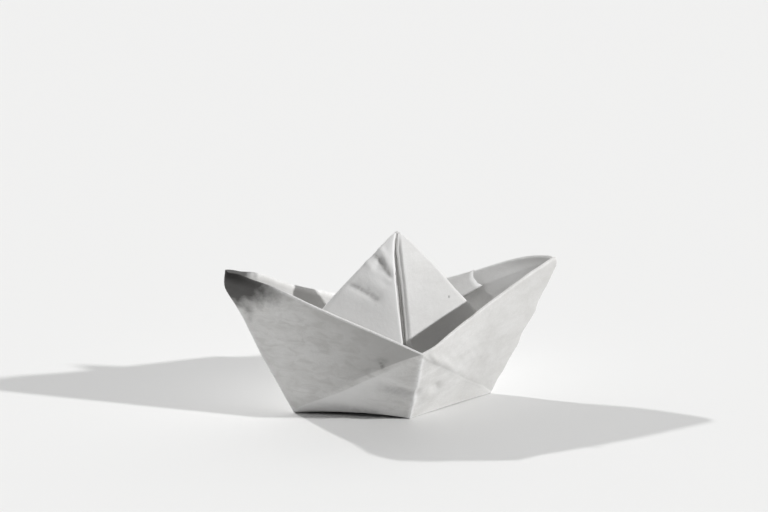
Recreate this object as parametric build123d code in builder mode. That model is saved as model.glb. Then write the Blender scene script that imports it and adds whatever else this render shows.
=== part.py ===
"""A paper boat folded from one large sheet, standing opened out on its keel folds.

Lengths are in millimetres. +X runs from the bow tip to the stern tip, +Z is up, and the near
side, with the slit in the sail, faces -Y. The origin is on the ground, under the sail's peak.
"""

from build123d import *
import math
import os

# paper
ply = 0.6  # one sheet of heavy cotton paper
near_plies = 3  # the near wall, with a corner of the sheet turned in behind it
far_plies = 2  # the far wall
sail_plies = 2  # the sail itself
flap_plies = 2  # each corner flap over the near face of the sail
brim_plies = 2  # the brim turned down inside the walls
brim_slack = 0.6  # space between a wall and its brim

# hull
tip_reach = 215.0  # from the middle of the boat to a tip
bow_rise = 188.0  # height of the bow tip
stern_rise = 181.0  # height of the stern tip
bow_blunt = 16.0  # length of the upright edge that the bow tip ends in
stern_blunt = 7.0  # the same at the stern, where the tip is nearly sharp
rim_reach = 130.0  # from the middle of the boat to the lowest point of each rim
rim_rise = 104.0  # height of the lowest point of each rim
near_rim_slip = 5.0  # how far towards the bow the near rim's lowest point has slipped
far_rim_slip = 10.0  # the same on the far rim
heel_reach = 131.0  # from the middle of the boat to the foot of each end fold
keel_reach = 63.0  # from the middle of the boat to the foot of each side crease
brim_depth = 95.0  # how far the brim reaches down from the rim

# sail
peak_rise = 226.0  # height of the peak
seat_rise = 66.0  # height at which the sail's ridges meet the end folds
slit_foot = 13.0  # width of the slit between the corner flaps at their feet
slit_top = 5.0  # width of the slit at the peak
slit_depth = 6.0  # how far the sail sinks in behind the slit at its foot

# folds
keel_fold = 2.0  # radius of the folds that the boat stands on
end_fold = 2.2  # radius of the folds at bow and stern
ridge_fold = 1.7  # radius of the sail's ridges
wall_crease = 1.4  # radius of the creases across the walls
sail_crease = 1.0  # radius of the soft bends across the sail
flap_fold = 1.6  # radius of the folded edges beside the slit
fold_swell = 0.2  # how far a rim's fold swells past the layers in it
foot_flat = 0.5  # how far the keel folds are pressed flat where they stand

# torn end of the brim inside the far wall, near the stern
tear_from_tip = 108.0  # from the stern tip, along the rim
tear_bulge = 12.0  # how far the torn edge bows towards the stern
tear_depth = 1.6  # how far its teeth stand out
tear_teeth = 11  # teeth along it
tear_phase = 2.4  # step of the wave that sets the teeth, in radians

BOW, STERN = -1, 1
NEAR, FAR = -1, 1

ground = keel_fold - foot_flat  # height of the keel folds' middle line
peak = Vector(0, 0, peak_rise)
layers = []  # every facet, fold and corner of the sheet, before they are joined


def tip(end):
    return Vector(end * tip_reach, 0, bow_rise if end == BOW else stern_rise)


def chin(end):
    """The lower end of the blunt nose at a tip."""
    return tip(end) - Vector(0, 0, bow_blunt if end == BOW else stern_blunt)


def heel(end):
    return Vector(end * heel_reach, 0, ground)


def rim(side):
    return Vector(-(near_rim_slip if side == NEAR else far_rim_slip), side * rim_reach, rim_rise)


def keel(side):
    return Vector(0, side * keel_reach, ground)


def between(start, finish, share):
    return start + (finish - start) * share


def lip(end, side):
    """The upper corner of the blunt nose, where a rim that aims past it is cut short."""
    beyond = between(heel(end), chin(end), (tip(end).Z - ground) / (chin(end).Z - ground))
    cut = (abs(beyond.X) - tip_reach) / (abs(beyond.X) - end * rim(side).X)
    return between(beyond, rim(side), cut)


def seat(end):
    """The point on an end fold where the sail's ridge runs into it."""
    return between(heel(end), chin(end), (seat_rise - ground) / (chin(end).Z - ground))


def upright(points):
    """The unit normal of the plane through three points."""
    return (points[1] - points[0]).cross(points[2] - points[0]).normalized()


def panel(points, thickness):
    """One flat facet of paper, with its middle plane through the points."""
    plane = Plane(points[0], x_dir=points[1] - points[0], z_dir=upright(points))
    with BuildSketch(plane) as outline:
        with BuildLine():
            Polyline(*[plane.to_local_coords(point) for point in points], close=True)
        make_face()
    layers.append(extrude(outline.sketch, amount=thickness / 2, both=True, mode=Mode.PRIVATE))


def fold(start, finish, radius):
    """The rounded back of a fold."""
    with BuildSketch(Plane(start, z_dir=finish - start)) as section:
        Circle(radius)
    layers.append(extrude(section.sketch, amount=(finish - start).length, mode=Mode.PRIVATE))


def corner(point, radius):
    """A round corner where folds meet."""
    with Locations(point):
        layers.append(Sphere(radius, mode=Mode.PRIVATE))


def brim_shift(end, side, wall):
    """How far, across the boat, the brim's middle plane lies inside that of the wall."""
    across = abs(upright([rim(side), chin(end), heel(end)]).Y)
    return Vector(0, -side * (wall / 2 + brim_slack + brim_plies * ply / 2) / across, 0)


def brim(end, side, wall):
    """The strip turned down inside a wall, over its upper facet and across the crease."""
    shift = brim_shift(end, side, wall)
    top, low, foot = lip(end, side), rim(side), heel(end)
    along = (low - top).normalized()
    down = (foot - top - along * (foot - top).dot(along)).normalized()
    share = brim_depth / (foot - top).dot(down)
    crease_end = between(low, foot, share)
    if (end, side) == (STERN, FAR):
        edge = []
        for tooth in range(tear_teeth + 1):
            drop = brim_depth * tooth / tear_teeth
            bow = tear_bulge * math.sin(math.pi * tooth / tear_teeth)
            jag = tear_depth * math.sin(tear_phase * tooth)
            edge.append(top + along * (tear_from_tip - bow + jag) + down * drop)
    else:
        clear = abs(shift.Y) / abs(along.Y)
        nose = chin(end)
        last = between(nose, foot, (brim_depth - (nose - top).dot(down)) / (foot - nose).dot(down))
        edge = [top, nose + along * clear, last + along * clear]
    panel([point + shift for point in [low, *edge, crease_end]], brim_plies * ply)
    side_end = between(low, keel(side), brim_depth / (keel(side) - low).length)
    panel([point + shift for point in [low, crease_end, side_end]], brim_plies * ply)
    stack = wall + brim_slack + brim_plies * ply
    back = stack / 2 + fold_swell
    fold(low + shift / 2, top + shift / 2, back)
    corner(top + shift / 2, back)
    if end == BOW:
        corner(low + shift / 2, back)


def hull_quarter(end, side):
    """The wall from one end fold to one side crease, with its keel fold and brim."""
    wall = (near_plies if side == NEAR else far_plies) * ply
    panel([rim(side), heel(end), chin(end), lip(end, side)], wall)
    fold(chin(end), lip(end, side), end_fold)
    panel([rim(side), heel(end), keel(side)], wall)
    fold(rim(side), heel(end), wall_crease)
    fold(heel(end), keel(side), keel_fold)
    brim(end, side, wall)


def sail_quarter(end, side):
    """One face of the sail from its ridge to the middle, down to the keel fold."""
    if side == NEAR:
        slit_side(end)
    else:
        panel([peak, seat(end), keel(side)], sail_plies * ply)
    panel([seat(end), heel(end), keel(side)], sail_plies * ply)
    fold(seat(end), keel(side), sail_crease)


def slit_side(end):
    """A corner flap on the near face, up to the slit, and half of the channel behind the slit."""
    upper = between(peak, seat(end), slit_top / 2 / (seat(end) - peak).length)
    lower = between(keel(NEAR), seat(end), slit_foot / 2 / (seat(end) - keel(NEAR)).length)
    panel([upper, seat(end), lower], (sail_plies + flap_plies) * ply)
    fold(upper, lower, flap_fold)
    valley_foot = keel(NEAR) + Vector(0, slit_depth, 0)
    normal = upright([upper, lower, valley_foot])
    rise = upper.Z - valley_foot.Z
    valley_top = valley_foot + Vector(0, -rise * normal.Z / normal.Y, rise)
    panel([upper, lower, valley_foot, valley_top], sail_plies * ply)


with BuildPart() as paper_boat:
    for end in (BOW, STERN):
        for side in (NEAR, FAR):
            hull_quarter(end, side)
            sail_quarter(end, side)
        panel([chin(end), lip(end, NEAR), lip(end, FAR)], near_plies * ply)
        fold(lip(end, NEAR), lip(end, FAR), end_fold)
        fold(heel(end), chin(end), end_fold)
        corner(chin(end), end_fold)
        corner(heel(end), max(end_fold, keel_fold))
        fold(peak, seat(end), ridge_fold)
        corner(seat(end), ridge_fold)
    for side in (NEAR, FAR):
        fold(rim(side), keel(side), wall_crease)
        corner(keel(side), keel_fold)
    corner(peak, ridge_fold)
    fold(peak, keel(FAR), sail_crease)
    add(layers)
    split(bisect_by=Plane.XY, keep=Keep.TOP)

paper_boat.part.label = "paper_boat"

os.makedirs("parts", exist_ok=True)
export_step(paper_boat.part, "parts/paper_boat.step")
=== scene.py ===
"""The looks of a paper boat, folded from one large sheet of heavy cotton paper.

Forms are worked out in millimetres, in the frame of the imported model: +X from bow to stern,
-Y towards the near side, +Z up. They are turned into metres when a mesh is made.
"""

import math

import bmesh
import bpy
import numpy as np
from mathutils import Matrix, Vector, noise


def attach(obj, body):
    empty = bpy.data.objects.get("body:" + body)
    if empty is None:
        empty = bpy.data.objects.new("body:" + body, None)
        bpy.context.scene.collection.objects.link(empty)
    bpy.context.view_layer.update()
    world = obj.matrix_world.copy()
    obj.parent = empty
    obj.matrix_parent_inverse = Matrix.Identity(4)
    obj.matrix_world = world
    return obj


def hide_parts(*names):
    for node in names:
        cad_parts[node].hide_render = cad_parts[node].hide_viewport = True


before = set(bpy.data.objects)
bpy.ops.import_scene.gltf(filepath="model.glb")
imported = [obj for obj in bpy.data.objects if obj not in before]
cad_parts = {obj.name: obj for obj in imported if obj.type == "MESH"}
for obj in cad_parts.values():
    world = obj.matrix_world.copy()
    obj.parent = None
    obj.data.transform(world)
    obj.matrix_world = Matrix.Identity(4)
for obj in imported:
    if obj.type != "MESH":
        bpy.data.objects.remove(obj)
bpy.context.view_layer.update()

MM = 0.001
BOW, STERN = -1, 1
NEAR, FAR = -1, 1

# sizes of the fold
tip_reach = {BOW: 214.5, STERN: 217.5}
tip_rise = {BOW: 192.5, STERN: 181.5}
blunt = {BOW: 18.0, STERN: 9.0}
rim_reach = 130.0
rim_rise = 104.0
rim_slip = {NEAR: 5.0, FAR: 10.0}
heel_reach = 131.0
keel_reach = 63.0
brim_depth = 95.0
peak_rise = 226.0
peak_slip = 1.5
seat_rise = 66.0

# thickness of the layers, as they look in the folds
wall_thickness = {NEAR: 1.7, FAR: 1.3}
sail_thickness = 1.2
flap_thickness = 1.1
brim_thickness = 0.9

# rounding of the folds
rim_turn = 1.3
keel_turn = 1.1
seat_inset = {BOW: 4.5, STERN: 6.5}
seat_sag = 3.0
nose_round = 5.0
tip_round = {BOW: 2.0, STERN: 9.0}
tip_round_height = 40.0
tip_droop = 0.6
column_rounds = 3
crease_rounds = 2

# how far the brims spring away from the walls, and the share of that slope they start with
brim_spring = 3.0
brim_spring_start = 0.3

# how finely the sheet is divided
quarter_columns = 64
column_crowding = 0.62
sail_rows = 54
sail_foot_rows = 14
keel_turn_rows = 5
hull_foot_rows = 22
hull_rows = 42
rim_turn_rows = 7
brim_rows = 30

# the rows at which each part of the sheet starts
row_seat = sail_rows
row_keel = row_seat + sail_foot_rows
row_hull = row_keel + keel_turn_rows
row_crease = row_hull + hull_foot_rows
row_rim = row_crease + hull_rows
row_brim = row_rim + rim_turn_rows

# the torn end of the brim at the far side of the stern, measured from the stern tip along the rim
torn_quarter = (STERN, FAR)
tear_from_tip = 110.0
# share of the brim's depth there, and how far the tear has wandered towards the tip by then;
# the columns beside it lean with it, less with their distance as a share of the rim
tear_line = ((0.0, 0.0), (0.3, 3.0), (0.6, 9.5), (0.8, 16.0), (1.0, 27.0))
tear_lean_share = 0.2
tear_waves_start = (0.0, 0.06)
# the lower edge is torn away too: how deep the brim is at the tear, and how it deepens from there
tear_reach = 15.0
tear_slope = 0.45

# layers of noise that make lines and faces waver: height, size and seed of each
edge_waves = ((2.2, 34.0, 1), (1.1, 11.0, 2))
tear_waves = ((1.0, 3.5, 3), (1.0, 8.0, 4))
end_waves = ((0.7, 14.0, 31),)
side_waves = ((1.3, 9.0, 41),)
cockle_waves = ((1.1, 75.0, 11), (0.35, 24.0, 21))
# how near the side crease its line wavers, and how high above the ground the paper is free to cockle
side_waves_start = (0.955, 1.0)
cockle_start = (0.0, 25.0)

# bends along each rim, by share of the way from tip to side crease: height, place and width
rim_lifts = {
    (BOW, NEAR): ((4.4, 0.25, 0.15), (2.6, 0.08, 0.06)),
    (STERN, NEAR): ((3.2, 0.45, 0.25), (-2.2, 0.9, 0.07)),
    (STERN, FAR): ((3.4, 0.15, 0.13), (-0.8, 0.45, 0.07)),
    (BOW, FAR): ((6.1, 0.255, 0.135), (3.4, 0.05, 0.06), (-1.3, 0.6, 0.15)),
}
rim_outs = {
    (BOW, NEAR): ((1.5, 0.55, 0.3),),
    (STERN, NEAR): ((1.0, 0.5, 0.3),),
    (STERN, FAR): ((12.0, 0.33, 0.2),),
    (BOW, FAR): ((1.5, 0.15, 0.2),),
}
near_bow_arch = ((3.0, 0.5, 0.42),)
# where these bends set in past the tip, and where the arch sets in and ends
rim_bend_start = (-0.02, 0.12)
far_out_start = (0.0, 0.3)
arch_start = (0.0, 0.1)
arch_end = (1.0, 0.85)
# the far wall of the stern curls out along its rim and is hollow below: how much, how deep down, and
# how far the hollow leans to the tip
stern_curl = ((8.0, 0.17, 0.13),)
stern_curl_start = (-0.02, 0.1)
stern_curl_depth = 32.0
stern_hollow = 9.0
stern_hollow_depth = 150.0
stern_hollow_lean = 0.6

# bends of the sail's ridges, by share of the way down from the peak, and how soon the bow's one rises
bow_ridge_swell = 5.0
bow_ridge_bend = 0.6
stern_ridge_swell = ((4.6, 0.25, 0.17), (1.8, 0.09, 0.07))

# bends of the bow's folded end, by share of the way down from the tip, and how it stands out at its foot
bow_end_swell = ((5.0, 0.6, 0.3), (4.9, 0.13, 0.13))
bow_foot_swell = 2.4
bow_foot_start = (0.6, 1.0)
# the chipped fold of the stern: share of the way down from the tip, and how far it stands out
stern_edge = (
    (0.00, 0.0),
    (0.04, 1.8),
    (0.09, 3.0),
    (0.15, 3.8),
    (0.22, 4.4),
    (0.28, 2.8),
    (0.34, 2.8),
    (0.37, 4.4),
    (0.41, 6.4),
    (0.46, 5.2),
    (0.50, 4.0),
    (0.56, 1.8),
    (0.65, 4.6),
    (0.74, 2.8),
    (0.84, 3.4),
    (0.90, 0.6),
    (1.00, 0.0),
)
# how far down the ends waver, and how far from the fold, as a share, the walls follow it
end_waves_end = (1.0, 0.8)
end_swell_spread = (0.45, 0.0)

# how far the bottom edge bows up off the ground, how pointed that is, and how high up it is felt;
# the foot of the sail follows it, and counts as this high
keel_lift_height = {(BOW, NEAR): 4.2, (STERN, NEAR): 0.8, (STERN, FAR): 1.2, (BOW, FAR): 1.6}
keel_lift_bend = {BOW: 0.55, STERN: 1.3}
keel_lift_reach = 45.0
sail_foot_height = 40.0

# the slit between the corner flaps: share of the way from peak to keel, and the edge of each flap there
slit_places = (0.00, 0.06, 0.14, 0.30, 0.50, 0.62, 0.93)
slit_edge = {
    BOW: (-1.6, -5.6, -7.8, -7.0, -4.9, -3.4, -3.0),
    STERN: (1.2, 3.2, 5.0, 7.0, 8.4, 8.2, 7.0),
}
slit_depth = 7.5
slit_sink_width = 15.3
slit_pleat = 0.9
slit_pleat_width = 4.6
slit_pleat_spread = 7.0
# where the sail behind the slit starts to sink and to be pleated, below the peak and above the ground
slit_sink_start = (1.0, 26.0)
slit_pleat_start = (10.0, 40.0)
slit_sink_end = (4.0, 40.0)

# the corner flaps: how finely they are divided, from where to where, and how far down the ridge;
# how they stand off the sail, and how their edges turn under
flap_rows = 84
flap_columns = 46
flap_turn_columns = 6
flap_tuck_columns = 5
flap_span = (0.012, 0.93)
flap_ridge_share = 0.95
flap_clearance = 1.45
flap_belly = {BOW: 1.5, STERN: 0.0}
flap_proud = {BOW: 1.0, STERN: 0.0}
flap_turn = {BOW: 2.1, STERN: 0.95}
flap_turn_swell = ((0.45, 0.14, 0.12),)
flap_tuck = 14.0
flap_tuck_drop = 0.8
flap_tuck_limit = 0.5
# by share of the way down: where the slit has opened, and where the flap stands out, turns and bellies
slit_opening = (0.0, 0.12)
flap_proud_start = (0.0, 0.2)
flap_turn_start = (-0.1, 0.1)
flap_belly_start = (0.0, 0.3)
# by share of the way across: where the flap has left the ridge, and where it stands out
flap_leaves_ridge = (0.0, 0.04)
flap_proud_across = (0.3, 0.9)
# the stern flap is drawn back from the slit and dips to its edge: by how much, and over what width
flap_drawn_back = {BOW: 0.0, STERN: 2.5}
flap_dip = {BOW: 0.0, STERN: 3.4}
flap_dip_width = 4.0

# soft dents and creases: the two ends of each, how deep it goes, how wide it is
dents = (
    ((-39, -80, 55), (-18, -86, 47), -2.8, 7.0),
    ((-18, -86, 47), (-1, -90, 43), -3.6, 6.0),
    ((-42, -74, 42), (-4, -82, 33), 1.8, 9.0),
    ((-30, -92, 66), (-4, -104, 66), 1.4, 9.0),
    ((27, -77, 46), (31, -76, 40), -2.8, 6.0),
    ((14, -78, 38), (17, -76, 34), 1.4, 6.0),
    ((8, -120, 99), (60, -78, 62), 2.4, 6.0),
    ((60, -78, 62), (110, -28, 22), 1.2, 6.0),
    ((-22, -6, 191), (-9, -10, 172), -2.8, 4.5),
    ((-25, -6, 184), (-15, -10, 164), -1.8, 8.0),
    ((-20, -3, 205), (-6, -8, 180), 1.6, 4.5),
    ((-53, -4, 159), (-28, -14, 147), -2.2, 7.0),
    ((-37, 0, 190), (-33, -3, 184), 1.2, 5.0),
    ((-112, -52, 118), (-60, -72, 84), -1.6, 26.0),
    ((-160, -22, 128), (-120, -32, 84), 1.2, 26.0),
    ((120, -30, 88), (60, -72, 86), 1.2, 28.0),
)
# what is left out as too faint, as a share of a dent's depth
dent_faintest = 0.02
# how much the depth of a dent wavers, and how fast along each axis, in radians per millimetre
dent_waver_depth = 0.15
dent_waver = (0.33, 0.2, 0.41)

# dirt rubbed into the paper, and painted shade along dents, the side crease and the bottom edge: the two
# ends of each mark, its radius and its strength
marks = (
    ((-189, -8, 143), (-189, -8, 141), 4.2, 0.6),
    ((-189, -7, 140), (-188, -5, 129), 2.4, 0.3),
    ((-184, -18, 176), (-152, -39, 163), 6.5, 0.2),
    ((-47, -95, 87), (-44, -96, 87), 2.0, 0.9),
    ((-44, -94, 84), (-43, -94, 82), 1.6, 0.8),
    ((-47, -94, 92), (-42, -98, 91), 3.6, 0.35),
    ((-62, -83, 74), (-59, -84, 75), 2.4, 0.6),
    ((-57, -1, 162), (-51, -4, 159), 3.4, 0.5),
    ((-46, -6, 156), (-39, -9, 152), 2.6, 0.55),
    ((-34, -12, 149), (-30, -14, 145), 3.6, 0.5),
    ((-38, -8, 158), (-31, -15, 138), 1.4, 0.4),
    # a dark streak along a dent on the bow face of the sail: dirt and painted shade
    ((-26, -3, 197), (-11, -10, 174), 3.0, 0.6),
    ((69, -6, 138), (69.6, -6, 137.6), 1.0, 0.9),
    # painted shade along the bottom of the near bow wall
    ((-110, -10, 20), (-40, -45, 6), 6.0, 0.25),
    # painted shade along a dent in the near bow wall
    ((-32, -80, 47), (-2, -90, 42), 4.5, 0.22),
    # painted shade along the side crease of the near stern wall
    ((10, -116, 94), (50, -85, 61), 3.6, 0.14),
)
# how much each axis counts in the distance from a mark
mark_weights = (1.0, 0.35, 1.0)

# soot at the bow tip: how far it runs along the rim and down the walls, how round its edge is, and
# the share of that reach at which it has faded away
soot_along = {NEAR: 80.0, FAR: 58.0}
soot_down = {NEAR: 54.0, FAR: 40.0}
soot_bend = 1.3
soot_end = 1.25
# how much each axis counts in the distance from the tip
soot_weights = (1.0, 0.5, 1.0)
# the charred core on the near side: how far it runs, fading and at full strength
char_along = (58.0, 40.0)
char_down = (15.0, 5.0)

# chafing along the folds and edges, with painted highlights on the rounded folds and rims: how strong it
# is, and how wide
sail_fold_wear_and_highlight = 0.5
keel_wear = 0.5
end_wear_and_highlight = 0.7
end_wear_and_highlight_width = 2.5
side_wear_and_highlight = 1.3
side_wear_and_highlight_width = 3.0
rim_wear_and_highlight = {(BOW, NEAR): 0.6, (STERN, NEAR): 0.0, (STERN, FAR): 0.4, (BOW, FAR): 0.6}
rim_wear_and_highlight_width = 1.6
brim_edge_wear = 0.6
brim_edge_wear_width = 2.0
tear_wear = 0.9
tear_wear_width = 7.0
torn_edge_wear_width = 2.5
flap_wear_and_highlight_columns = 3.5

# how strongly the streaks show
wall_streaks = {(BOW, NEAR): 1.0, (STERN, NEAR): 0.35, (STERN, FAR): 0.5, (BOW, FAR): 0.6}
lower_wall_streaks = 0.7
plain_streaks = 0.3

# painted light, with an even tone: on the walls below their creases, parts of two upper walls, the torn
# brim and the flaps; where that sets in is a share of the way to the side crease, or a depth below the
# rim
lower_even_and_light = {BOW: 0.85, STERN: 0.2}
lower_even_and_light_start = (0.95, 0.45)
near_bow_painted_light = 0.25
near_bow_painted_light_start = (0.5, 0.1)
far_stern_painted_light = 0.6
far_stern_painted_light_depth = (70.0, 20.0)
flap_even_and_light = {BOW: 1.0, STERN: 0.4}

# painted shade on the brims, the near bow wall and deep on the far stern wall; a darker near stern wall
brim_painted_shade = {(BOW, NEAR): 1.1, (STERN, NEAR): 1.1, (STERN, FAR): 0.0, (BOW, FAR): 0.7}
brim_painted_shade_depth = (1.0, 6.0)
near_bow_painted_shade_start = (0.1, 0.9)
near_stern_darkening = 0.3
near_stern_tip_darkening = 0.2
near_stern_tip_darkening_start = (0.7, 0.1)
far_stern_painted_shade = 0.5
far_stern_painted_shade_depth = (40.0, 90.0)
# the painted shade on the near bow wall ends at a bowed line a little above the crease
shade_line_height = 3.5
shade_line_bend = 0.6
shade_line_width = 1.5

# colours
paper_light = (0.81, 0.805, 0.795)
paper_dark = (0.73, 0.725, 0.71)
# fresh paper for the veins, and for wear and painted highlights
paper_fresh_and_highlight = (0.91, 0.91, 0.905)
# painted light, of even tone
paper_even_and_light = (0.92, 0.918, 0.912)
paper_stain = (0.55, 0.54, 0.52)
# the colour of the painted shade, and of the darker near stern wall
paper_shade = (0.46, 0.455, 0.445)
# grime, and painted shade
grime_and_shade_colour = (0.10, 0.095, 0.09)
soot_colour = (0.018, 0.016, 0.015)
floor_colour = (0.85, 0.85, 0.845)
sky_colour = (1.0, 1.0, 1.0)

# grains of noise in the paper: size in millimetres, detail, distortion, and the scale of each axis
grains = {
    "mottle": (26.0, 5.0, 0.6, (0.45, 0.8, 1.3)),
    "veins": (15.0, 4.0, 2.4, (0.6, 0.8, 1.0)),
    "fibre": (1.1, 3.0, 0.4, (0.5, 0.7, 1.2)),
    "stains": (60.0, 4.0, 0.0, (1.0, 1.0, 1.0)),
    "streaks": (13.0, 5.0, 0.8, (0.5, 0.8, 1.3)),
    "chafing": (4.5, 4.0, 0.0, (1.0, 1.0, 1.0)),
    "speckle": (7.0, 3.0, 0.0, (1.0, 1.0, 1.0)),
    "smoke": (10.0, 4.0, 0.0, (1.0, 1.0, 1.0)),
    "fine tooth": (0.8, 4.0, 0.0, (1.0, 1.0, 1.0)),
    "coarse tooth": (5.5, 4.0, 0.0, (1.0, 1.0, 1.0)),
}
vein_strength = 0.35
shade_strength = 0.85
fine_tooth_share = 0.35
tooth_strength = 0.55
tooth_height = 0.5
paper_roughness = 0.88
paper_specular = 0.25

# the stage and its light
floor_size = 24.0
sky_strength = (0.05, 0.72)
sky_fade = (-0.5, 0.5)
key_light = {"bearing": 54, "elevation": 26, "spread": 2.0, "irradiance": 2.5}
back_light = {"bearing": 220, "elevation": 38.5, "spread": 2.0, "irradiance": 1.5}

# the camera stands 0.70 m above the table and looks down on the boat from 1.97 m away
camera_place = Vector((-0.573, -1.8903, 0.698))
camera_bearing = 16.45
camera_tilt = 14.3
camera_lens = 76.17
camera_sensor = 36.0


def lerp(a, b, share):
    return a + (b - a) * share


def spot(x, y, z):
    return np.array([x, y, z], float)


def unit(vector):
    return vector / np.linalg.norm(vector)


def ramp(low, high, value):
    """0 below low, 1 above high, smooth between; with low above high it falls instead."""
    share = np.clip((value - low) / (high - low), 0.0, 1.0)
    return share * share * (3.0 - 2.0 * share)


def bell(value, centre, width):
    """1 at the centre, falling smoothly on both sides."""
    return np.exp(-(((value - centre) / width) ** 2))


def bells(bends, value):
    """The sum of several bells, each with a height, a centre and a width."""
    return sum(height * bell(value, centre, width) for height, centre, width in bends)


def arch(share, bend=1.0):
    """0 at both ends of the way and 1 in the middle; a bend below 1 makes it rise faster."""
    return math.sin(math.pi * share) ** bend


def along_table(value, table):
    """The value of a table of pairs at a place between its rows."""
    return float(np.interp(value, *zip(*table)))


def shares(count, with_end=False):
    return [i / count for i in range(count + (1 if with_end else 0))]


def smooth_noise(place, scale, seed):
    """Perlin noise of about -1 to 1 at a place in millimetres, with features of the given size."""
    return noise.noise(Vector(place) / scale + Vector((seed * 7.3, seed * 3.1, seed * 5.7)))


def waves(layers, place, axis=0):
    """The sum of several layers of noise, each with a height, a size and a seed."""
    return sum(height * smooth_noise(place, size, seed + axis) for height, size, seed in layers)


def crowded(t):
    """Columns lie closer together near the folds at both ends of a quarter."""
    return t - column_crowding * math.sin(2 * math.pi * t) / (2 * math.pi)


column_shares = [crowded(t) for t in shares(quarter_columns, with_end=True)]


class Quarter:
    """The facets of one quarter of the boat: an end, bow or stern, and a side, near or far."""

    def __init__(self, end, side):
        self.end, self.side = end, side
        self.which = (end, side)
        self.ground = keel_turn + wall_thickness[side] / 2
        self.heel = spot(end * heel_reach, 0, self.ground)
        self.keel = spot(0, side * keel_reach, self.ground)
        self.rim = spot(-rim_slip[side], side * rim_reach, rim_rise)
        chin = spot(end * tip_reach[end], 0, tip_rise[end] - blunt[end])
        # the walls aim past the blunt nose, to where their rims would meet
        past = (tip_rise[end] - self.ground) / (chin[2] - self.ground)
        self.tip = lerp(self.heel, chin, past)
        self.peak = spot(peak_slip, 0, peak_rise)
        slope = math.atan2(keel_reach, heel_reach)
        self.sail_keel = self.keel - spot(0, side * 2 * keel_turn / math.cos(slope), 0)
        self.sail_heel = self.heel - spot(end * 2 * keel_turn / math.sin(slope), 0, 0)
        seat = lerp(self.heel, self.tip, (seat_rise - self.ground) / (self.tip[2] - self.ground))
        self.seat = seat - spot(end * seat_inset[end], 0, 0)
        along = unit(self.rim - self.tip)
        drop = self.heel - self.tip
        drop = drop - along * drop.dot(along)
        self.rim_length = np.linalg.norm(self.rim - self.tip)
        self.wall_depth = np.linalg.norm(drop)
        self.down = drop / self.wall_depth
        self.keel_depth = np.linalg.norm(self.keel - self.rim)
        self.inward = np.cross(along, self.down)
        self.inward *= -side * np.sign(self.inward[1])

    def ridge_swell(self, t):
        """How far the sail's ridge bows outward, by the share of the way down from the peak."""
        if self.end == BOW:
            return bow_ridge_swell * arch(t, bow_ridge_bend)
        return bells(stern_ridge_swell, t)

    def crease_depth(self, share):
        """How far below the rim the wall's crease lies."""
        return self.wall_depth * (1 - share)

    def foot_depth(self, share):
        """How far below the rim the wall's foot lies."""
        return lerp(self.wall_depth, self.keel_depth, share)

    def on_wall(self, share, depth):
        """A place on the wall: share of the way from end fold to side crease, depth below the rim."""
        top = lerp(self.tip, self.rim, share)
        crease = lerp(self.heel, self.rim, share)
        foot = lerp(self.heel, self.keel, share)
        upper = self.crease_depth(share)
        lower = self.foot_depth(share) - upper
        if depth <= upper:
            return lerp(top, crease, depth / max(upper, 1e-6))
        return lerp(crease, foot, (depth - upper) / max(lower, 1e-6))

    def shifted(self, share, depth, across):
        """A place moved in from the wall, kept on its own side of the boat's middle plane."""
        first = across / rim_reach
        return self.on_wall(first + (1 - first) * share, depth) - spot(0, self.side * across, 0)

    def column(self, share):
        """One line of the sheet, from the peak down the sail, round the keel fold, up and over."""
        seat_line = lerp(self.seat, self.sail_keel, share) - spot(0, 0, seat_sag * arch(share))
        sail_foot = lerp(self.sail_heel, self.sail_keel, share)
        foot = lerp(self.heel, self.keel, share)
        crease = lerp(self.heel, self.rim, share)
        top = lerp(self.tip, self.rim, share)
        rows = []
        for t in shares(sail_rows):
            bulge = self.end * self.ridge_swell(t) * (1 - share)
            rows.append(lerp(self.peak, seat_line, t) + spot(bulge, 0, 0))
        rows += [lerp(seat_line, sail_foot, t) for t in shares(sail_foot_rows)]
        middle, half = (sail_foot + foot) / 2, (foot - sail_foot) / 2
        for t in shares(keel_turn_rows):
            rows.append(middle - half * math.cos(math.pi * t) - spot(0, 0, keel_turn * arch(t)))
        rows += [lerp(foot, crease, t) for t in shares(hull_foot_rows)]
        rows += [lerp(crease, top, t) for t in shares(hull_rows)]
        shift = 2 * rim_turn / abs(self.inward[1])
        for t in shares(rim_turn_rows):
            across = shift * (1 - math.cos(math.pi * t)) / 2
            rows.append(self.shifted(share, 0.0, across) - self.down * rim_turn * arch(t))
        for t in shares(brim_rows, with_end=True):
            along = self.torn(share, t) if self.which == torn_quarter else share
            edge = self.ragged(share) if t > 0.5 else 0.0
            depth = t * (self.brim_reach(share) + edge * (2 * t - 1))
            spring = brim_spring * t * lerp(brim_spring_start, 1.0, t)
            rows.append(self.shifted(along, depth, shift + spring))
        return rows

    def ragged(self, share):
        """The deckled edge of the sheet, as it wanders along the brim."""
        return waves(edge_waves, (share * self.rim_length, 40.0 * self.end, 90.0 * self.side))

    def tear_share(self):
        """The column at which the torn brim ends."""
        nose = spot(self.end * tip_reach[self.end], 0, tip_rise[self.end])
        past_nose = self.rim_length - np.linalg.norm(nose - self.rim)
        wanted = (tear_from_tip + past_nose) / self.rim_length
        return min(column_shares, key=lambda value: abs(value - wanted))

    def past_tear(self, share):
        """How far along the rim a column lies past the tear, in millimetres."""
        return (share - self.tear_share()) * self.rim_length

    def brim_reach(self, share):
        """How deep the folded-in brim is; the torn one is shallow by the tear."""
        if self.which != torn_quarter:
            return brim_depth
        return min(tear_reach + tear_slope * max(self.past_tear(share), 0.0), brim_depth)

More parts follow.
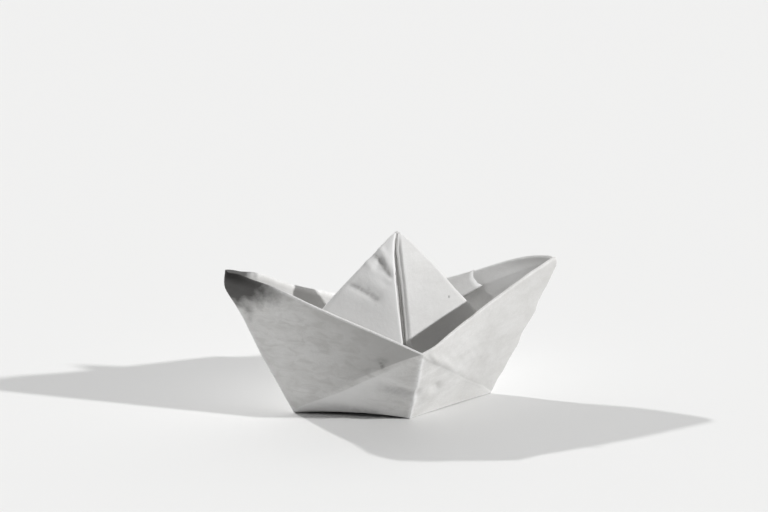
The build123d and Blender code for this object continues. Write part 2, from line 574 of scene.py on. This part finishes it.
    def torn(self, share, drop):
        """On the torn brim, columns lean so that one of them runs along the tear."""
        lean = along_table(drop, tear_line)
        lean += ramp(*tear_waves_start, drop) * waves(tear_waves, (drop * tear_reach, 0, 0))
        fall = ramp(0.0, 1.0, 1 - abs(share - self.tear_share()) / tear_lean_share)
        return share - lean / self.rim_length * fall


def sheet_columns():
    """Every column round the boat: its quarter and its share of the way to the side crease."""
    columns = []
    for end, side in ((BOW, NEAR), (STERN, NEAR), (STERN, FAR), (BOW, FAR)):
        quarter = Quarter(end, side)
        outward = (end == BOW) == (side == NEAR)
        steps = column_shares[:-1] if outward else column_shares[:0:-1]
        columns += [(quarter, share) for share in steps]
    return columns


def part_of(quarter, share, row):
    """The part of the sheet a row lies in, how far through it, and its depth below the rim."""
    if row < row_seat:
        return "sail", row / sail_rows, None
    if row < row_keel:
        return "sail foot", (row - row_seat) / sail_foot_rows, None
    if row < row_hull:
        return "keel", (row - row_keel) / keel_turn_rows, quarter.foot_depth(share)
    if row < row_crease:
        through = (row - row_hull) / hull_foot_rows
        depth = lerp(quarter.foot_depth(share), quarter.crease_depth(share), through)
        return "lower wall", through, depth
    if row < row_rim:
        through = (row - row_crease) / hull_rows
        return "upper wall", through, lerp(quarter.crease_depth(share), 0.0, through)
    if row < row_brim:
        return "rim", (row - row_rim) / rim_turn_rows, 0.0
    through = (row - row_brim) / brim_rows
    return "brim", through, quarter.brim_reach(share) * through


def round_folds(grid):
    """Soften the folds between columns, and the creases between rows."""
    for _ in range(column_rounds):
        body = grid[1:]
        grid[1:] = 0.5 * body + 0.25 * (np.roll(body, 1, axis=1) + np.roll(body, -1, axis=1))
    for row in (row_seat, row_crease):
        for _ in range(crease_rounds):
            low, high = row - 2, row + 3
            beside = grid[low - 1 : high - 1] + grid[low + 1 : high + 1]
            grid[low:high] = 0.5 * grid[low:high] + 0.25 * beside


def blunt_noses(grid):
    """Stop the walls at the blunt noses, with a rounded corner."""
    for end in (BOW, STERN):
        over = end * grid[:, :, 0] - tip_reach[end] + nose_round
        pressed = nose_round * (1 - np.exp(-np.maximum(over, 0) / nose_round))
        grid[:, :, 0] -= end * np.where(over > 0, over - pressed, 0)
        past = np.maximum(end * grid[:, :, 0] - tip_reach[end] + tip_round[end], 0) / tip_round[end]
        high = ramp(tip_rise[end] - tip_round_height, tip_rise[end], grid[:, :, 2])
        grid[:, :, 2] -= tip_droop * tip_round[end] * past**2 * high


def rim_shape(quarter, share, depth):
    """How far a place on the wall is pushed up and out by the bends of the rim."""
    lift = bells(rim_lifts[quarter.which], share)
    out = bells(rim_outs[quarter.which], share)
    curl = 0.0
    hollow = 0.0
    if quarter.which == (BOW, NEAR):
        lift += bells(near_bow_arch, share) * ramp(*arch_end, share) * ramp(*arch_start, share)
    if quarter.which == (STERN, FAR):
        out *= ramp(*far_out_start, share)
        curl = bells(stern_curl, share) * ramp(*stern_curl_start, share)
        curl *= ramp(stern_curl_depth, 0.0, depth)
        hollow = stern_hollow * arch(min(depth / stern_hollow_depth, 1.0))
        hollow *= arch(share**stern_hollow_lean)
    fade = max(1.0 - depth / brim_depth, 0.0) * ramp(*rim_bend_start, share)
    return spot(0, quarter.side * (out * fade + curl - hollow), lift * fade)


def end_swell(quarter, share, depth):
    """The folded ends bow outward from the straight line between heel and tip, and waver."""
    along = np.clip(depth / quarter.wall_depth, 0.0, 1.0)
    if quarter.end == BOW:
        out = bells(bow_end_swell, along) + bow_foot_swell * ramp(*bow_foot_start, along)
    else:
        out = along_table(along, stern_edge)
    out += waves(end_waves, (depth, 0, 0)) * ramp(*end_waves_end, along)
    return spot(quarter.end * out * ramp(*end_swell_spread, share), 0, 0)


def worn_notches(quarter, share, depth):
    """The side fold is chafed, so its line is not quite straight."""
    wander = waves(side_waves, (depth, 50.0 * quarter.side, 0))
    return spot(wander * ramp(*side_waves_start, share), 0, 0)


def keel_lift(quarter, share, height):
    """The pressed bottom edge bows up off the ground between its corners, less with the height."""
    lift = keel_lift_height[quarter.which] * arch(share, keel_lift_bend[quarter.end])
    return spot(0, 0, lift * ramp(keel_lift_reach, 0.0, height))


def bend_sheet(grid, columns):
    """Push each place of the folded sheet by the bends of its rim, its end, its side and its keel."""
    for c, (quarter, share) in enumerate(columns):
        for r in range(row_seat, len(grid)):
            part, through, depth = part_of(quarter, share, r)
            if part == "sail foot":
                grid[r, c] += end_swell(quarter, share, quarter.wall_depth) * through
                grid[r, c] += keel_lift(quarter, share, (1 - through) * sail_foot_height)
                continue
            grid[r, c] += rim_shape(quarter, share, depth)
            grid[r, c] += end_swell(quarter, share, depth) + worn_notches(quarter, share, depth)
            if r < row_rim:
                grid[r, c] += keel_lift(quarter, share, quarter.foot_depth(share) - depth)


def sink_sail(grid, columns):
    """Sink and pleat the near face of the sail behind the slit."""
    sail = grid[1:row_keel]
    across = sail[..., 0] - peak_slip
    below = peak_rise - sail[..., 2]
    off_ground = ramp(*slit_sink_end, sail[..., 2])
    sink = slit_depth * bell(across, 0.0, slit_sink_width) * ramp(*slit_sink_start, below)
    pleats = slit_pleat * np.cos(2 * math.pi * across / slit_pleat_width)
    pleats *= bell(across, 0.0, slit_pleat_spread) * ramp(*slit_pleat_start, below)
    near = np.array([quarter.side == NEAR for quarter, _ in columns])
    sail[..., 1] += np.where(near[None, :], (sink + pleats) * off_ground, 0.0)


def to_segment(places, start, finish, weights=(1.0, 1.0, 1.0)):
    """Distance from the segment between two points; the weights say how much each axis counts."""
    start, way = spot(*start), spot(*finish) - spot(*start)
    along = np.clip(((places - start) @ way) / way.dot(way), 0.0, 1.0)
    apart = places - (start + along[..., None] * way)
    return np.linalg.norm(apart * weights, axis=-1)


def grid_normals(grid, cyclic):
    """Unit normals of a grid of points, from its neighbours."""
    down = np.gradient(grid, axis=0)
    if cyclic:
        across = (np.roll(grid, -1, axis=1) - np.roll(grid, 1, axis=1)) / 2
    else:
        across = np.gradient(grid, axis=1)
    normal = np.cross(across, down)
    return normal / np.maximum(np.linalg.norm(normal, axis=-1, keepdims=True), 1e-9)


def press_dents(grid, cyclic):
    """Push the near faces in or out at each dent."""
    normal = grid_normals(grid, cyclic)
    normal *= np.where(normal[..., 1:2] > 0, -1.0, 1.0)
    for start, finish, depth, width in dents:
        near = np.exp(-((to_segment(grid, start, finish) / width) ** 2))
        near[near < dent_faintest] = 0.0
        near *= 1 - dent_waver_depth + dent_waver_depth * np.sin(grid @ dent_waver)
        grid += normal * (depth * near)[..., None]


def cockle(grid):
    """The slow waves of handled paper, as a shift that neighbouring layers share."""
    for row in grid:
        for place in row:
            shift = np.array([waves(cockle_waves, place, axis) for axis in range(3)])
            place += shift * ramp(*cockle_start, place[2])


def grid_faces(number, keep, cyclic):
    """The faces of a grid of numbered points, without those that are pinched to a line."""
    rows, columns = number.shape
    faces = []
    for row in range(rows - 1):
        for column in range(columns if cyclic else columns - 1):
            if not keep[row, column]:
                continue
            beside = (column + 1) % columns
            ring = [number[row, column], number[row, beside]]
            ring += [number[row + 1, beside], number[row + 1, column]]
            ring = [int(v) for k, v in enumerate(ring) if v != ring[k - 1]]
            if len(ring) > 2 and len(set(ring)) == len(ring):
                faces.append(ring)
    return faces


def point_normals(points, faces):
    """A unit normal for each point, from the faces round it."""
    normals = np.zeros_like(points)
    for face in faces:
        corners = points[face]
        normals[face] += np.cross(corners[1] - corners[0], corners[-1] - corners[0])
        if len(face) == 4:
            normals[face] += np.cross(corners[3] - corners[2], corners[1] - corners[2])
    return normals / np.maximum(np.linalg.norm(normals, axis=1, keepdims=True), 1e-9)


def open_edges(faces):
    """The edges that only one face has, each in the direction in which its face runs."""
    edges = {}
    for face in faces:
        for k, v in enumerate(face):
            edge = (face[k - 1], v)
            if edge[::-1] in edges:
                del edges[edge[::-1]]
            else:
                edges[edge] = True
    return list(edges)


def thick_mesh(name, grid, thickness, keep, cyclic, paint):
    """A closed mesh of a thin sheet: the grid is its middle, and keep says which faces it has."""
    keys = np.round(grid.reshape(-1, 3), 3)
    _, first, number = np.unique(keys, axis=0, return_index=True, return_inverse=True)
    points = grid.reshape(-1, 3)[first]
    faces = grid_faces(number.reshape(grid.shape[:2]), keep, cyclic)
    half = point_normals(points, faces) * (thickness.reshape(-1)[first] / 2)[:, None]
    count = len(points)
    solid = faces + [[v + count for v in reversed(face)] for face in faces]
    solid += [[b, a, a + count, b + count] for a, b in open_edges(faces)]
    mesh = bpy.data.meshes.new(name)
    mesh.from_pydata((np.vstack([points + half, points - half]) * MM).tolist(), [], solid)
    for key, values in paint.items():
        layer = mesh.attributes.new(key, "FLOAT", "POINT")
        flat = values.reshape(-1)[first]
        layer.data.foreach_set("value", np.concatenate([flat, flat]).astype(np.float32))
    mesh.validate()
    mesh.shade_smooth()
    drop_loose(mesh)
    piece = bpy.data.objects.new(name, mesh)
    bpy.context.collection.objects.link(piece)
    return piece


def drop_loose(mesh):
    """Remove the points that no face uses, and turn all faces outward."""
    shell = bmesh.new()
    shell.from_mesh(mesh)
    loose = [v for v in shell.verts if not v.link_faces]
    bmesh.ops.delete(shell, geom=loose, context="VERTS")
    bmesh.ops.recalc_face_normals(shell, faces=shell.faces)
    shell.to_mesh(mesh)
    shell.free()


def soiling_and_shade(grid):
    """The soot at the bow tip, and the dirt rubbed into the paper with painted shade along dents and
    creases, a value of each for each point.
    """
    quarter = Quarter(BOW, NEAR)
    rim_way = unit((quarter.rim - quarter.tip) * (1.0, 0.0, 1.0))
    away = (grid - spot(-tip_reach[BOW], 0, tip_rise[BOW])) * soot_weights
    along = away @ rim_way
    down = np.linalg.norm(away - along[..., None] * rim_way, axis=-1)
    far = grid[..., 1] > 0
    share_along = np.maximum(along, 0) / np.where(far, soot_along[FAR], soot_along[NEAR])
    share_down = down / np.where(far, soot_down[FAR], soot_down[NEAR])
    reach = (share_along**soot_bend + share_down**soot_bend) ** (1 / soot_bend)
    char = np.where(far, 0.0, ramp(*char_down, down) * ramp(*char_along, along))
    grime_and_shade = np.zeros(grid.shape[:2])
    for start, finish, radius, strength in marks:
        near = np.exp(-((to_segment(grid, start, finish, mark_weights) / radius) ** 2))
        grime_and_shade = np.maximum(grime_and_shade, near * strength)
    return {"soot": np.clip(soot_end - reach, 0.0, 1.0), "char": char, "grime_and_shade": grime_and_shade}


def thickness_of(quarter, part, through):
    wall = wall_thickness[quarter.side]
    if part == "keel":
        return lerp(sail_thickness, wall, through)
    if part == "rim":
        return lerp(wall, brim_thickness, through)
    if part == "brim":
        return brim_thickness
    return wall if part in ("lower wall", "upper wall") else sail_thickness


def wear_and_highlight_of(quarter, share, part, depth):
    """How chafed the paper is along folds, rims and torn edges, with painted highlights on rounded folds
    and rims.
    """
    end_fold = bell(share * quarter.rim_length, 0.0, end_wear_and_highlight_width)
    if part in ("sail", "sail foot"):
        return sail_fold_wear_and_highlight * end_fold
    if part == "keel":
        return keel_wear
    if part == "lower wall":
        side_fold = bell((1 - share) * math.hypot(heel_reach, keel_reach), 0.0, side_wear_and_highlight_width)
        return max(side_wear_and_highlight * side_fold, end_wear_and_highlight * end_fold)
    near_rim = rim_wear_and_highlight[quarter.which] * bell(depth, 0.0, rim_wear_and_highlight_width)
    if part == "upper wall":
        return max(near_rim, end_wear_and_highlight * end_fold)
    if part == "rim":
        return rim_wear_and_highlight[quarter.which]
    if quarter.which == torn_quarter:
        side_edge = bell(quarter.past_tear(share), 0.0, tear_wear_width)
        low_edge = bell(quarter.brim_reach(share) - depth, 0.0, torn_edge_wear_width)
        return tear_wear * max(side_edge, low_edge)
    return max(near_rim, brim_edge_wear * bell(depth, brim_depth, brim_edge_wear_width))


def shade_and_darkening_of(quarter, share, part, depth):
    """Painted shade on the brims, the near bow wall and deep on the far stern wall; a darker near stern
    wall.
    """
    if part == "brim":
        # painted shade: the brims face into the hull
        return brim_painted_shade[quarter.which] * ramp(*brim_painted_shade_depth, depth)
    if part == "upper wall" and quarter.which == (BOW, NEAR):
        # painted shade on the near bow wall, darker towards its side crease, above a line over the
        # crease
        line = shade_line_height * arch(share, shade_line_bend)
        above = ramp(line, line + shade_line_width, quarter.crease_depth(share) - depth)
        return ramp(*near_bow_painted_shade_start, share) * above
    if part == "upper wall" and quarter.which == (STERN, NEAR):
        # the near stern wall is evenly darker, more so towards its tip
        return near_stern_darkening + near_stern_tip_darkening * ramp(*near_stern_tip_darkening_start, share)
    if part == "upper wall" and quarter.which == (STERN, FAR):
        # painted shade deep down on the inner face of the far stern wall
        return far_stern_painted_shade * ramp(*far_stern_painted_shade_depth, depth)
    return 0.0


def streaks_of(quarter, part):
    """How strongly the streaks show on the paper."""
    if part == "lower wall":
        return lower_wall_streaks * wall_streaks[quarter.which]
    return wall_streaks[quarter.which] if part == "upper wall" else plain_streaks


def even_and_painted_light_of(quarter, share, part, depth):
    """How much lighter and more even in tone the paper is painted: painted light on the walls and the
    torn brim.
    """
    if part == "lower wall":
        # painted light with an even tone on the walls below their creases
        return lower_even_and_light[quarter.end] * ramp(*lower_even_and_light_start, share)
    if part == "upper wall" and quarter.which == (BOW, NEAR):
        # painted light on the near bow wall, lighter towards its bow end
        return near_bow_painted_light * ramp(*near_bow_painted_light_start, share)
    if part == "upper wall" and quarter.which == (STERN, FAR):
        # painted light along the rim of the far stern wall, fading with depth
        return far_stern_painted_light * ramp(*far_stern_painted_light_depth, depth)
    # painted light on the torn brim
    return far_stern_painted_light if part == "brim" and quarter.which == torn_quarter else 0.0


def boat_sheet():
    """The whole sheet but for the two corner flaps: sail, keel folds, walls, rims and brims."""
    columns = sheet_columns()
    grid = np.array([quarter.column(share) for quarter, share in columns]).transpose(1, 0, 2)
    round_folds(grid)
    blunt_noses(grid)
    bend_sheet(grid, columns)
    sink_sail(grid, columns)
    press_dents(grid[1:], cyclic=True)
    cockle(grid)
    rows, count = grid.shape[:2]
    thickness = np.zeros((rows, count))
    keep = np.ones((rows - 1, count), bool)
    paint = {key: np.zeros((rows, count)) for key in ("wear_and_highlight", "shade_and_darkening", "streaked", "even_and_painted_light")}
    for c, (quarter, share) in enumerate(columns):
        for r in range(rows):
            part, through, depth = part_of(quarter, share, r)
            thickness[r, c] = thickness_of(quarter, part, through)
            # wear, with painted highlights on the rounded folds and rims
            paint["wear_and_highlight"][r, c] = wear_and_highlight_of(quarter, share, part, depth)
            # painted shade, and the darker near stern wall
            paint["shade_and_darkening"][r, c] = shade_and_darkening_of(quarter, share, part, depth)
            paint["streaked"][r, c] = streaks_of(quarter, part)
            # painted light, with an even tone
            paint["even_and_painted_light"][r, c] = even_and_painted_light_of(quarter, share, part, depth)
        if quarter.which == torn_quarter and share < quarter.tear_share():
            keep[row_rim:, c] = False
    return thick_mesh("boat_sheet", grid, thickness, keep, True, {**soiling_and_shade(grid), **paint})


def flap_line(quarter, outward, t):
    """One line of a corner flap: from the sail's ridge to the slit, round the fold and back under."""
    end = quarter.end
    opened = ramp(*slit_opening, t)
    proud = flap_proud[end] * ramp(*flap_proud_start, t)
    dip = flap_dip[end] * opened
    radius = flap_turn[end] * ramp(*flap_turn_start, t) * (1 + bells(flap_turn_swell, t))
    down = t * flap_ridge_share
    ridge = lerp(quarter.peak, quarter.seat, down) + spot(end * quarter.ridge_swell(down), 0, 0)
    middle = lerp(quarter.peak, quarter.sail_keel, t)
    edge_x = np.interp(t, slit_places, slit_edge[end]) + peak_slip * (1 - t)
    edge_x -= flap_drawn_back[end] * opened
    edge = lerp(ridge, middle, (edge_x - ridge[0]) / (middle[0] - ridge[0]))
    width = np.linalg.norm(edge - ridge)
    way = unit(edge - ridge)
    line = []
    for u in shares(flap_columns):
        lift = flap_clearance * ramp(*flap_leaves_ridge, u) + proud * ramp(*flap_proud_across, u)
        lift += flap_belly[end] * arch(u) * ramp(*flap_belly_start, t)
        lift -= dip * ramp(flap_dip_width, 0.0, (1 - u) * width)
        line.append(lerp(ridge, edge, u) + outward * lift)
    lift = flap_clearance + proud - dip
    for u in shares(flap_turn_columns):
        angle = math.pi * u
        turn = way * math.sin(angle) + outward * (math.cos(angle) - 1)
        line.append(edge + outward * lift + turn * radius)
    for u in shares(flap_tuck_columns, with_end=True):
        back = min(flap_tuck, flap_tuck_limit * width) * u
        line.append(edge + outward * (lift - 2 * radius - flap_tuck_drop * u) - way * back)
    return line


def corner_flap(name, end):
    """One corner flap over the near face of the sail, its edge folded under beside the slit."""
    quarter = Quarter(end, NEAR)
    face = np.cross(quarter.seat - quarter.peak, quarter.sail_keel - quarter.peak)
    outward = unit(face) * -np.sign(face[1])
    grid = np.array([flap_line(quarter, outward, t) for t in np.linspace(*flap_span, flap_rows)])
    press_dents(grid, cyclic=False)
    cockle(grid)
    rows, columns = grid.shape[:2]
    fold = flap_columns + flap_turn_columns / 2
    paint = {
        # wear and a painted highlight along the flap's fold at the slit
        "wear_and_highlight": np.tile(bell(np.arange(columns), fold, flap_wear_and_highlight_columns), (rows, 1)),
        "shade_and_darkening": np.zeros((rows, columns)),
        "streaked": np.full((rows, columns), plain_streaks),
        # painted light on the flaps, with an even tone, most on the bow flap
        "even_and_painted_light": np.full((rows, columns), flap_even_and_light[end]),
    }
    thickness = np.full((rows, columns), flap_thickness)
    keep = np.ones((rows - 1, columns - 1), bool)
    return thick_mesh(name, grid, thickness, keep, False, {**soiling_and_shade(grid), **paint})


class Shading:
    """Short calls that add nodes to a material's tree and link them."""

    def __init__(self, tree):
        self.tree = tree
        self.place = tree.nodes.new("ShaderNodeTexCoord").outputs["Object"]

    def node(self, kind, **settings):
        made = self.tree.nodes.new(kind)
        for key, value in settings.items():
            setattr(made, key, value)
        return made

    def feed(self, socket, value):
        """Give a socket a number, a colour or another node's output."""
        if isinstance(value, tuple):
            socket.default_value = (*value, 1.0)
        elif isinstance(value, (int, float)):
            socket.default_value = value
        else:
            self.tree.links.new(value, socket)

    def grain(self, name):
        size, detail, distortion, scale = grains[name]
        mapping = self.node("ShaderNodeMapping")
        mapping.inputs["Scale"].default_value = scale
        self.feed(mapping.inputs["Vector"], self.place)
        made = self.node("ShaderNodeTexNoise")
        self.feed(made.inputs["Vector"], mapping.outputs["Vector"])
        self.feed(made.inputs["Scale"], 1 / (size * MM))
        self.feed(made.inputs["Detail"], detail)
        self.feed(made.inputs["Distortion"], distortion)
        return made.outputs["Fac"]

    def painted(self, name):
        """A value that the mesh carries at its points."""
        return self.node("ShaderNodeAttribute", attribute_name=name).outputs["Fac"]

    def levels(self, value, low, high, to_low=0.0, to_high=1.0):
        """Spread the range from low to high over another one, and hold it there."""
        made = self.node("ShaderNodeMapRange")
        self.feed(made.inputs["Value"], value)
        self.feed(made.inputs["From Min"], low)
        self.feed(made.inputs["From Max"], high)
        self.feed(made.inputs["To Min"], to_low)
        self.feed(made.inputs["To Max"], to_high)
        return made.outputs["Result"]

    def combine(self, operation, a, b):
        made = self.node("ShaderNodeMath", operation=operation)
        self.feed(made.inputs[0], a)
        self.feed(made.inputs[1], b)
        return made.outputs["Value"]

    def blend(self, under, over, share):
        """Lay one colour over another."""
        made = self.node("ShaderNodeMix", data_type="RGBA")
        below, above = (socket for socket in made.inputs if socket.type == "RGBA")
        self.feed(below, under)
        self.feed(above, over)
        self.feed(made.inputs["Factor"], share)
        return next(socket for socket in made.outputs if socket.type == "RGBA")


def paper_material():
    """Matt cotton paper, mottled and scuffed, with soot and grime, and painted light, shade and
    highlights where the sheet is painted.
    """
    material = bpy.data.materials.new("cotton_paper")
    material.use_nodes = True
    shader = material.node_tree.nodes["Principled BSDF"]
    s = Shading(material.node_tree)
    s.feed(shader.inputs["Roughness"], paper_roughness)
    s.feed(shader.inputs["Specular IOR Level"], paper_specular)

    colour = s.blend(paper_light, paper_dark, s.levels(s.grain("mottle"), 0.38, 0.68))
    from_vein = s.combine("ABSOLUTE", s.combine("SUBTRACT", s.grain("veins"), 0.5), 0.0)
    vein = s.combine("MULTIPLY", s.levels(from_vein, 0.03, 0.0), vein_strength)
    colour = s.blend(colour, paper_fresh_and_highlight, vein)
    colour = s.blend(colour, paper_stain, s.levels(s.grain("fibre"), 0.45, 0.75, 0.0, 0.2))
    colour = s.blend(colour, paper_stain, s.levels(s.grain("stains"), 0.52, 0.72, 0.0, 0.35))
    streak = s.levels(s.grain("streaks"), 0.46, 0.66, 0.0, 0.5)
    colour = s.blend(colour, paper_stain, s.combine("MULTIPLY", streak, s.painted("streaked")))
    # painted light, with an even tone
    colour = s.blend(colour, paper_even_and_light, s.painted("even_and_painted_light"))

    chafe = s.levels(s.grain("chafing"), 0.36, 0.56, 0.4, 1.0)
    # wear, and painted highlights on the rounded folds and rims
    colour = s.blend(colour, paper_fresh_and_highlight, s.combine("MULTIPLY", s.painted("wear_and_highlight"), chafe))
    # painted shade, and the darker near stern wall
    colour = s.blend(colour, paper_shade, s.combine("MULTIPLY", s.painted("shade_and_darkening"), shade_strength))
    speckle = s.levels(s.grain("speckle"), 0.36, 0.6, 0.6, 1.0)
    # grime, and painted shade along dents and creases
    colour = s.blend(colour, grime_and_shade_colour, s.combine("MULTIPLY", s.painted("grime_and_shade"), speckle))

    smoke = s.combine("ADD", s.painted("soot"), s.levels(s.grain("smoke"), 0.3, 0.7, -0.09, 0.09))
    smoke = s.levels(smoke, 0.16, 0.6)
    smoke = s.combine("MULTIPLY", smoke, s.levels(s.painted("soot"), 0.0, 0.12, 0.0, 0.97))
    smoke = s.combine("MULTIPLY", smoke, s.levels(s.painted("char"), 0.0, 1.0, 0.88, 1.0))
    s.feed(shader.inputs["Base Color"], s.blend(colour, soot_colour, smoke))

    fine_tooth = s.combine("MULTIPLY", s.grain("fine tooth"), fine_tooth_share)
    bump = s.node("ShaderNodeBump")
    s.feed(bump.inputs["Strength"], tooth_strength)
    s.feed(bump.inputs["Distance"], tooth_height * MM)
    s.feed(bump.inputs["Height"], s.combine("ADD", fine_tooth, s.grain("coarse tooth")))
    s.feed(shader.inputs["Normal"], bump.outputs["Normal"])
    return material


def floor_material():
    material = bpy.data.materials.new("pale_floor")
    material.use_nodes = True
    shader = material.node_tree.nodes["Principled BSDF"]
    shader.inputs["Base Color"].default_value = (*floor_colour, 1.0)
    shader.inputs["Roughness"].default_value = 1.0
    shader.inputs["Specular IOR Level"].default_value = 0.0
    return material


def dress_boat():
    paper = paper_material()
    sheet = boat_sheet()
    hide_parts("paper_boat")
    for piece in (sheet, corner_flap("bow_flap", BOW), corner_flap("stern_flap", STERN)):
        piece.data.materials.append(paper)
        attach(piece, "root")


def stage():
    """A plain pale floor, and a white sky that is brighter on the far side."""
    bpy.ops.mesh.primitive_plane_add(size=floor_size)
    floor = bpy.context.object
    floor.name = "floor"
    floor.data.materials.append(floor_material())
    world = bpy.data.worlds.new("studio")
    bpy.context.scene.world = world
    world.use_nodes = True
    tree = world.node_tree
    sky = tree.nodes["Background"]
    sky.inputs["Color"].default_value = (*sky_colour, 1.0)
    way = tree.nodes.new("ShaderNodeSeparateXYZ")
    tree.links.new(tree.nodes.new("ShaderNodeTexCoord").outputs["Generated"], way.inputs["Vector"])
    fade = tree.nodes.new("ShaderNodeMapRange")
    fade.interpolation_type = "SMOOTHSTEP"
    for key, value in zip(("From Min", "From Max", "To Min", "To Max"), (*sky_fade, *sky_strength)):
        fade.inputs[key].default_value = value
    tree.links.new(way.outputs["Y"], fade.inputs["Value"])
    tree.links.new(fade.outputs["Result"], sky.inputs["Strength"])


def soft_sun(name, bearing, elevation, spread, irradiance):
    """A distant round lamp. Bearing turns from -Y towards +X; spread is its width, in degrees."""
    data = bpy.data.lights.new(name, "SUN")
    data.angle = math.radians(spread)
    data.energy = irradiance
    lamp = bpy.data.objects.new(name, data)
    lamp.rotation_euler = (math.radians(90 - elevation), 0, math.radians(bearing))
    bpy.context.collection.objects.link(lamp)


def camera():
    data = bpy.data.cameras.new("photo_view")
    data.lens = camera_lens
    data.sensor_width = camera_sensor
    view = bpy.data.objects.new("photo_view", data)
    view.location = camera_place
    view.rotation_euler = (math.radians(90 - camera_tilt), 0, -math.radians(camera_bearing))
    bpy.context.collection.objects.link(view)
    bpy.context.scene.camera = view


dress_boat()
stage()
soft_sun("key", **key_light)
soft_sun("back", **back_light)
camera()
bpy.context.scene.view_settings.view_transform = "Standard"
